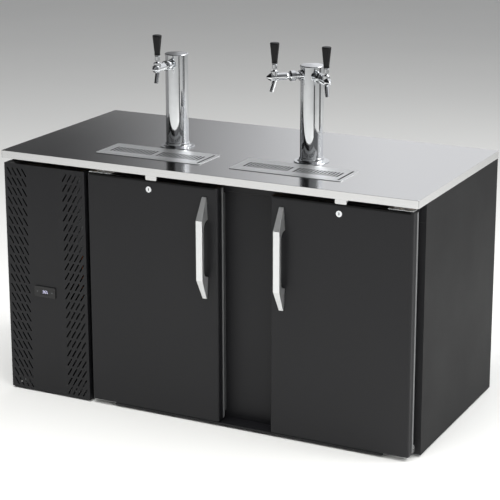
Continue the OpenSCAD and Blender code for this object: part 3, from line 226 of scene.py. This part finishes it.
def litSegment(name, colour, strength):
    # light emitting segment under a diffusing film: a soft glow, whiter in random spots of about 3 mm
    mat, tree, shader, place = newMaterial(name, {"Base Color": linear("#202028"), "Roughness": 0.4,
                                                  "Emission Strength": strength})
    glow = addNode(tree, "ShaderNodeTexNoise", {"Vector": place, "Scale": 300.0}).outputs[0]
    addNode(tree, "ShaderNodeMix", {0: glow, 6: linear(colour), 7: linear("#ffffff")},
            (2, shader["Emission Color"]), data_type="RGBA")
    return mat


materials = {
    "doorVinyl": vinylSteel("blackVinylDoor", "#18181a", "#1d1d1f", 0.42, 0.27),
    "blackVinyl": vinylSteel("blackVinylSteel", "#18181a", "#1d1d1f", 0.44, 0.27),
    # the side panels carry the same black film, coloured darker as painted shade for how the light falls on
    # the sides
    "shadedSideVinyl": vinylSteel("blackVinylShadedCopy", "#131314", "#171718", 0.5, 0.09),
    "topSteel": brushedSteel("satinStainless", "#cacaca", "#d8d8d8", 0.15, (0.004, 1, 1)),
    "linerSteel": brushedSteel("stainlessLiner", "#a2a4a6", "#c4c6c8", 0.34, (1, 1, 0.006)),
    # the near-black tone below the grid's face is painted shade in its slots
    "traySteel": brushedSteel("stainlessTray", "#e6e7e8", "#f2f3f3", 0.52, (0.01, 1, 1),
                              (0.8515, "#0c0c0d")),
    # the pan's near-black bowl tones are painted shade under the grid
    "panSteel": drawnPan("stainlessPanPaintedShade", "#eeefef", ("#1c1d1e", "#2a2b2c"), 0.5, 0.8503),
    "chrome": polishedChrome("polishedChrome", "#d6d8da", "#e8eaec", 0.04),
    "satinZinc": plainMetal("satinChromedZinc", "#dcdddd", "#e8e9e9", 0.34, 60.0, 0.82),
    "dullSheet": plainMetal("phosphatedSteel", "#3c3d3e", "#4a4b4c", 0.6, 60.0),
    "galvanised": plainMetal("galvanisedSteel", "#8b8e91", "#b4b7b9", 0.42),
    # zinc plating's own pale tone, raised near white as painted light so the strikes in the worktop's shade
    # read bright
    "platedPaintedBright": plainMetal("zincPlatedSteelPaintedLight", "#e4e5e6", "#f0f1f2", 0.24, 70.0, 0.8),
    "enamel": mouldedPlastic("blackEnamel", "#0c0c0d", "#141415", 0.28),
    "handleBlack": mouldedPlastic("blackPhenolic", "#0b0b0c", "#121213", 0.36, gloss=0.22),
    "bezelBlack": mouldedPlastic("blackPolycarbonate", "#101011", "#171718", 0.42),
    "keyGrey": mouldedPlastic("greyKeyCap", "#48494b", "#58595b", 0.45),
    "gasketGrey": mouldedPlastic("greyVinylGasket", "#3e3f40", "#4a4b4c", 0.55, 600.0, 0.00006),
    "bandGrey": mouldedPlastic("paleVinylBand", "#6c6d6e", "#787979", 0.6, 600.0, 0.00006),
    # near black: a cap's own black deepened as painted shade under the worktop, and the painted shade of
    # the keyways
    "blackCapAndShade": mouldedPlastic("blackCapAndPaintedShade", "#060606", "#0a0a0b", 0.6, gloss=0.2),
    "rubber": mouldedPlastic("blackNitrile", "#101010", "#181818", 0.7, 600.0, 0.0001),
    "whiteAbs": mouldedPlastic("whiteAbsLiner", "#dcdcd8", "#e8e8e4", 0.4),
    "fanGrey": mouldedPlastic("greyNylonFan", "#3a3c3e", "#46484a", 0.5),
    "finAluminium": plainMetal("finAluminium", "#a6a9ac", "#c6c9cb", 0.38, 80.0),
    "copper": plainMetal("copperTube", "#a45c34", "#c77a4c", 0.3, 50.0),
    "foam": rigidFoam("polyurethaneFoam", "#d8c993", "#e8dcb0"),
    "board": chipboard("chipboardCore", "#8a6a3e", "#c2a06c"),
    "hose": mouldedPlastic("pvcBeerHose", "#b9c2c4", "#cfd7d8", 0.3),
    "digit": litSegment("litSegment", "#b9b4ff", 1.6),
}
finishes = {
    "doorVinyl": ["left_door_panel", "right_door_panel"],
    "blackVinyl": ["louvre_panel", "panel_frame", "front_frame"],
    "shadedSideVinyl": ["side_panels"],
    "topSteel": ["worktop"],
    "linerSteel": ["inner_liner", "tap_shaft_1", "tap_shaft_2", "tap_shaft_3"],
    "traySteel": ["drip_grid_left", "drip_grid_right"],
    "panSteel": ["drip_pan_left", "drip_pan_right"],
    "chrome": ["tower_column_left", "tower_column_right", "tower_caps", "faucet_shanks", "shank_nuts",
               "faucet_bodies", "lever_bonnets", "tap_lever_1", "tap_lever_2", "tap_lever_3",
               "left_lock_barrel", "right_lock_barrel", "left_lock_plug", "right_lock_plug"],
    "satinZinc": ["left_door_handle", "right_door_handle"],
    "platedPaintedBright": ["lock_strikes", "hinge_brackets"],
    "galvanised": ["back_panel", "base_pan", "unit_base", "fan_shroud", "evaporator_fan_motor"],
    "enamel": ["compressor", "condenser_fan_motor"],
    "handleBlack": ["tap_handle_1", "tap_handle_2", "tap_handle_3"],
    "bezelBlack": ["controller_housing"],
    "keyGrey": ["key_left", "key_right"],
    "rubber": ["levelling_feet"],
    "gasketGrey": ["left_door_gasket", "right_door_gasket"],
    "whiteAbs": ["left_door_liner", "right_door_liner", "evaporator_fan"],
    "fanGrey": ["condenser_fan"],
    "finAluminium": ["condenser_coil", "evaporator_coil", "evaporator_cover"],
    "copper": ["refrigerant_lines"],
    "foam": ["foam_insulation"],
    "board": ["worktop_core"],
    "hose": ["beer_lines"],
}
for finish, names in finishes.items():
    for name in names:
        slots = nodes[name].data.materials
        slots.clear()
        slots.append(materials[finish])
print("finishes on", sum(len(v) for v in finishes.values()), "nodes")


def linkMesh(name, bm, mat):
    mesh = bpy.data.meshes.new(name)
    bm.to_mesh(mesh)
    bm.free()
    mesh.materials.append(mat)
    piece = bpy.data.objects.new(name, mesh)
    bpy.context.scene.collection.objects.link(piece)
    return piece


def addPiece(name, bm, material, body):
    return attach(linkMesh(name, bm, materials[material]), body)


def vertsOf(geom):
    return [g for g in geom if isinstance(g, bmesh.types.BMVert)]


# sheet and cast pieces whose edges are eased, so that they catch the light: width of the rounding in mm,
# and the least angle in degrees of an edge that gets it
easedEdges = {
    "worktop": (1.2, 35, "topSteel", "cabinet"),
    "lock_strikes": (0.5, 35, "platedPaintedBright", "cabinet"),
    "hinge_brackets": (0.5, 35, "platedPaintedBright", "cabinet"),
    "controller_housing": (0.8, 35, "bezelBlack", "cabinet"),
    "left_door_panel": (0.7, 35, "doorVinyl", "left_door"),
    "right_door_panel": (0.7, 35, "doorVinyl", "right_door"),
    "left_door_handle": (0.8, 15, "satinZinc", "left_door"),
    "right_door_handle": (0.8, 15, "satinZinc", "right_door"),
}
easing = {"weld": 0.00001, "flatWithin": 1, "segments": 3, "flatWeight": 100}


def easeNode(e, node, width, angle, material, body):
    bm = bmesh.new()
    bm.from_mesh(nodes[node].data)
    bmesh.ops.remove_doubles(bm, verts=bm.verts[:], dist=e["weld"])
    bmesh.ops.dissolve_limit(bm, angle_limit=math.radians(e["flatWithin"]),
                             verts=bm.verts[:], edges=bm.edges[:])
    for face in bm.faces:
        face.smooth = True
    piece = addPiece(node + "_eased", bm, material, body)
    ease = piece.modifiers.new("ease", "BEVEL")
    ease.width = width / 1000
    ease.segments = e["segments"]
    ease.limit_method = "ANGLE"
    ease.angle_limit = math.radians(angle)
    even = piece.modifiers.new("even", "WEIGHTED_NORMAL")  # flat faces stay flat to the eye
    even.weight = e["flatWeight"]
    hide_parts(node)


for node, settings in easedEdges.items():
    easeNode(easing, node, *settings)
print("edges eased on", len(easedEdges), "pieces")

# temperature controller: figures of lit segments behind the window, sizes in mm
display = {
    "figures": "36.5",
    "height": 9.0,
    "width": 5.2,
    "stroke": 1.2,
    "pitch": 7.4,
    "lean": 0.1,
    "thick": 0.3,
    "behindFace": 1.0,
    "tipGap": 0.35,
    "dotSides": 12,
}
litStrokes = {  # a top, b and c right, d foot, e and f left, g middle
    "0": "abcdef", "1": "bc", "2": "abged", "3": "abgcd", "4": "fgbc",
    "5": "afgcd", "6": "afgedc", "7": "abc", "8": "abcdefg", "9": "abcdfg",
}


def makeFigures(d):
    low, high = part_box("controller_housing")
    centre = Vector(((low.x + high.x) / 2, low.y + d["behindFace"] / 1000, (low.z + high.z) / 2))
    h, w, t = d["height"] / 2, d["width"] / 2, d["stroke"] / 2
    spots = {"a": (0, h, 0), "g": (0, 0, 0), "d": (0, -h, 0), "f": (-w, h / 2, 1), "b": (w, h / 2, 1),
             "e": (-w, -h / 2, 1), "c": (w, -h / 2, 1)}
    bm = bmesh.new()
    count = len(d["figures"].replace(".", ""))
    column = 0
    for sign in d["figures"]:
        at = (column - (count - 1) / 2) * d["pitch"]
        if sign == ".":
            dot = bmesh.ops.create_circle(bm, cap_ends=True, segments=d["dotSides"], radius=t)["verts"]
            bmesh.ops.translate(bm, verts=dot, vec=(at - d["pitch"] / 2, -h, 0))
            continue
        for stroke in litStrokes[sign]:
            x, z, upright = spots[stroke]
            reach = (h / 2 if upright else w) - t * d["tipGap"]
            bar = bmesh.ops.create_circle(bm, cap_ends=True, segments=6, radius=t)["verts"]
            for v in bar:  # pull the two tips of the hexagon apart
                if abs(v.co.x) > t * 0.9:
                    v.co.x = math.copysign(reach, v.co.x)
                else:
                    v.co.x = math.copysign(reach - t, v.co.x)
            if upright:
                bmesh.ops.rotate(bm, verts=bar, matrix=Matrix.Rotation(math.pi / 2, 3, "Z"))
            bmesh.ops.translate(bm, verts=bar, vec=(at + x, z, 0))
        column += 1
    grown = bmesh.ops.extrude_face_region(bm, geom=bm.faces[:])["geom"]
    bmesh.ops.translate(bm, verts=vertsOf(grown), vec=(0, 0, d["thick"]))
    bmesh.ops.recalc_face_normals(bm, faces=bm.faces[:])
    slope = Matrix(((1, d["lean"], 0), (0, 1, 0), (0, 0, 1)))
    stand = Matrix.Rotation(math.pi / 2, 3, "X")
    bmesh.ops.transform(bm, verts=bm.verts[:], matrix=(stand @ slope).to_4x4())
    bmesh.ops.scale(bm, verts=bm.verts[:], vec=(0.001, 0.001, 0.001))
    bmesh.ops.translate(bm, verts=bm.verts[:], vec=centre)
    addPiece("controller_figures", bm, "digit", "cabinet")


makeFigures(display)
print("controller figures made")

# trims on the doors, sizes in mm: a pale band in the joint of panel and liner along both upright edges,
# and a near-black cap along the top of the front, a cap whose darkness is partly painted shade from the
# worktop's overhang
doorTrim = {
    "bandBack": 30.0,
    "bandWide": 11.0,
    "bandInset": 5.0,
    "proud": 0.6,
    "sunk": 0.4,
    "ease": 1.2,
    "capTall": 5.5,
    "capOver": 9.0,
}


def growOutline(points, along):
    # a closed strip: the outline as a face, and its copy pushed along
    bm = bmesh.new()
    foot = bm.faces.new([bm.verts.new(p) for p in points])
    grown = bmesh.ops.extrude_face_region(bm, geom=[foot])["geom"]
    bmesh.ops.translate(bm, verts=vertsOf(grown), vec=along)
    bmesh.ops.recalc_face_normals(bm, faces=bm.faces[:])
    return bm


def trimDoor(door, t):
    low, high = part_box(door + "_panel")
    mm = {key: value / 1000 for key, value in t.items()}
    for name, edge, out in (("left", low.x, -1), ("right", high.x, 1)):
        outline = [(-mm["sunk"], 0), (mm["proud"], mm["ease"]), (mm["proud"], mm["bandWide"] - mm["ease"]),
                   (-mm["sunk"], mm["bandWide"])]
        points = [(edge + out * x, low.y + mm["bandBack"] + y, low.z + mm["bandInset"]) for x, y in outline]
        band = growOutline(points, (0, 0, high.z - low.z - 2 * mm["bandInset"]))
        addPiece("%s_band_%s" % (door, name), band, "bandGrey", door)
    outline = [(mm["sunk"], -mm["capTall"]), (-mm["proud"], -mm["capTall"]), (-mm["proud"], -mm["proud"]),
               (0, mm["proud"]), (mm["capOver"], mm["proud"]), (mm["capOver"], -mm["sunk"]),
               (mm["sunk"], -mm["sunk"])]
    inset = mm["capOver"]
    points = [(low.x + inset, low.y + y, high.z + z) for y, z in outline]
    # the cap's near black is partly painted shade under the worktop's overhang
    addPiece(door + "_cap", growOutline(points, (high.x - low.x - 2 * inset, 0, 0)), "blackCapAndShade", door)


for door in ("left_door", "right_door"):
    trimDoor(door, doorTrim)
print("door trims made")

# tabs that hang from the worktop's front edge, for the lock cams to turn up behind, sizes in mm
strikeTabs = {
    "spans": [(-191.7, -151.3), (475.7, 514.6)],
    "tall": 15.0,
    "thick": 1.5,
    "back": 1.0,
    "corner": 2.5,
    "ease": 0.3,
}


def hangTabs(t):
    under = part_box("lock_strikes")[1].z
    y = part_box("worktop")[0].y + t["back"] / 1000
    foot, corner = under - t["tall"] / 1000, t["corner"] / 1000
    for i, (first, last) in enumerate(t["spans"]):
        x0, x1 = first / 1000, last / 1000
        outline = [(x0, under), (x0, foot + corner), (x0 + corner, foot), (x1 - corner, foot),
                   (x1, foot + corner), (x1, under)]
        bm = growOutline([(x, y, z) for x, z in outline], (0, t["thick"] / 1000, 0))
        bmesh.ops.bevel(bm, geom=bm.edges[:], offset=t["ease"] / 1000, affect="EDGES", segments=2,
                        profile=0.5, material=-1)
        addPiece("strike_tab_%d" % (i + 1), bm, "topSteel", "cabinet")


hangTabs(strikeTabs)
print("strike tabs made")

# a near-black insert in the face of each lock plug, painted shade for its hollow keyway, sizes in mm
keyway = {"wide": 3.0, "tall": 9.0, "proud": 0.15, "sunk": 0.3}


def shadeKeyway(side, k):
    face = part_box(side + "_lock_plug")[0].y
    low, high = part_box(side + "_lock_barrel")
    x, z = (low.x + high.x) / 2, (low.z + high.z) / 2
    wide, tall = k["wide"] / 2000, k["tall"] / 2000
    bm = bmesh.new()
    ring = bmesh.ops.create_circle(bm, cap_ends=True, segments=16, radius=wide)["verts"]
    upper = [v for v in ring if v.co.y > 0]
    bmesh.ops.translate(bm, verts=upper, vec=(0, tall - wide, 0))
    bmesh.ops.translate(bm, verts=[v for v in ring if v not in upper], vec=(0, wide - tall, 0))
    bmesh.ops.rotate(bm, verts=ring, matrix=Matrix.Rotation(math.pi / 2, 3, "X"))
    bmesh.ops.translate(bm, verts=ring, vec=(x, face - k["proud"] / 1000, z))
    grown = bmesh.ops.extrude_face_region(bm, geom=bm.faces[:])["geom"]
    bmesh.ops.translate(bm, verts=vertsOf(grown), vec=(0, (k["proud"] + k["sunk"]) / 1000, 0))
    bmesh.ops.recalc_face_normals(bm, faces=bm.faces[:])
    addPiece(side + "_keyway_shade", bm, "blackCapAndShade", side + "_lock")


for side in ("left", "right"):
    shadeKeyway(side, keyway)
print("keyways made")

# folded sheets in the front of the machine compartment beside its partition, seen through the slots,
# in metres: two corners as (x, z)
baffles = {
    "upper": {"low": (-0.556, 0.503), "high": (-0.4415, 0.782), "finish": "galvanised"},
    "lower": {"low": (-0.556, 0.125), "high": (-0.4415, 0.335), "finish": "dullSheet"},
}
baffleFold = {"thick": 0.0008, "flange": 0.008}


def makeBaffle(name, b, fold):
    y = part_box("panel_frame")[1].y - fold["thick"]
    (x0, z0), (x1, z1) = b["low"], b["high"]
    bm = bmesh.new()
    corners = ((x0, z0), (x1, z0), (x1, z1), (x0, z1))
    sheet = bm.faces.new([bm.verts.new((x, y, z)) for x, z in corners])
    rim = bmesh.ops.extrude_edge_only(bm, edges=sheet.edges[:])["geom"]
    bmesh.ops.translate(bm, verts=vertsOf(rim), vec=(0, fold["flange"], 0))
    bmesh.ops.recalc_face_normals(bm, faces=bm.faces[:])
    piece = addPiece(name + "_baffle", bm, b["finish"], "cabinet")
    wall = piece.modifiers.new("sheet", "SOLIDIFY")
    wall.thickness = fold["thick"]


for name, b in baffles.items():
    makeBaffle(name, b, baffleFold)
print("baffles made")

# pale floor, soft light, and a dim studio that the metal reflects
studio = {
    "floor": ("#e4e4e2", "#ecece9"),
    "floorReach": 40,
    "lights": {
        "key": {"at": (-0.8, -2.2, 5.0), "aim": (-0.4, -1.3, 0.0),
                "size": 4.0, "watts": 320, "mirrored": False},
        "fill": {"at": (3.4, 1.4, 3.6), "aim": (0.2, 0.2, 0.5),
                 "size": 3.0, "watts": 170, "mirrored": True},
        "side": {"at": (3.2, -2.8, 1.8), "aim": (0.3, -0.35, 0.5),
                 "size": 2.0, "watts": 60, "mirrored": False},
    },
    "sky": 0.9,
    "skyDark": 0.06,
    "skyFrom": -34.0,
    "skyTo": -21.5,
    "frontSky": 0.2,
    "frontEnds": (-0.15, 0.25),
    "cardReach": 3.0,
    "cardHigh": 1.3,
    "cardFacets": 8,
    "cards": [(-155, -65, 0.3), (44, 56, 0.12), (98, 118, 0.15)],
}


def areaLight(name, at, size, watts, aim, mirrored):
    data = bpy.data.lights.new(name, "AREA")
    data.size = size
    data.energy = watts
    lamp = bpy.data.objects.new(name, data)
    lamp.location = at
    lamp.rotation_euler = (Vector(at) - Vector(aim)).to_track_quat("Z", "Y").to_euler()
    lamp.visible_camera = False
    lamp.visible_glossy = mirrored
    bpy.context.scene.collection.objects.link(lamp)


def addStage(name, bm, mat):
    piece = linkMesh(name, bm, mat)
    return piece


def layFloor(s):
    # matt painted boards: even and pale, with broad faint clouds
    mat, tree, shader, place = newMaterial("paleStudioFloor", {"Roughness": 0.8, "Specular IOR Level": 0.2})
    cloud = addNode(tree, "ShaderNodeTexNoise", {"Vector": place, "Scale": 0.6}).outputs[0]
    addNode(tree, "ShaderNodeMix", {0: cloud, 6: linear(s["floor"][0]), 7: linear(s["floor"][1])},
            (2, shader["Base Color"]), data_type="RGBA")
    bm = bmesh.new()
    bmesh.ops.create_grid(bm, x_segments=1, y_segments=1, size=s["floorReach"])
    addStage("floor", bm, mat)


def hangCards(s):
    # grey cards round the object that only reflections see, for the soft streaks in the chrome
    facets = s["cardFacets"]
    for i, (first, last, tone) in enumerate(s["cards"]):
        mat = newMaterial("studioCard_%d" % (i + 1), {
            "Base Color": linear("#000000"), "Roughness": 1.0, "Specular IOR Level": 0.0,
            "Emission Color": linear("#ffffff"), "Emission Strength": tone})[0]
        turns = [math.radians(first + (last - first) * k / facets) for k in range(facets + 1)]
        foot = [Vector((math.sin(a), -math.cos(a), 0)) * s["cardReach"] for a in turns]
        bm = bmesh.new()
        verts = [bm.verts.new(p) for p in foot]
        edges = [bm.edges.new(pair) for pair in zip(verts, verts[1:])]
        raised = bmesh.ops.extrude_edge_only(bm, edges=edges)["geom"]
        bmesh.ops.translate(bm, verts=vertsOf(raised), vec=(0, 0, s["cardHigh"]))
        card = addStage("card_%d" % (i + 1), bm, mat)
        card.visible_camera = False
        card.visible_diffuse = False
        card.visible_shadow = False


def paintSky(s):
    # dark in front, and behind it goes from dark at the left to bright at the right
    world = bpy.data.worlds.new("studioSky")
    world.use_nodes = True
    tree = world.node_tree
    way = addNode(tree, "ShaderNodeTexCoord").outputs["Generated"]
    axes = addNode(tree, "ShaderNodeSeparateXYZ", {0: way}).outputs
    turn = addNode(tree, "ShaderNodeMath", {0: axes[0], 1: axes[1]}, operation="ARCTAN2").outputs[0]
    side = addNode(tree, "ShaderNodeMapRange", {
        0: turn, 1: math.radians(s["skyFrom"]), 2: math.radians(s["skyTo"]), 3: s["skyDark"], 4: s["sky"]},
        interpolation_type="SMOOTHSTEP").outputs[0]
    start, end = s["frontEnds"]
    behind = addNode(tree, "ShaderNodeMapRange",
                     {0: axes[1], 1: start, 2: end, 3: s["frontSky"], 4: 1.0}).outputs[0]
    addNode(tree, "ShaderNodeMath", {0: side, 1: behind},
            (0, tree.nodes["Background"].inputs["Strength"]), operation="MULTIPLY")
    tree.nodes["Background"].inputs["Color"].default_value = linear("#fbfcff")
    bpy.context.scene.world = world


layFloor(studio)
hangCards(studio)
paintSky(studio)
for name, light in studio["lights"].items():
    areaLight(name + "Softbox", **light)
print("studio lit")
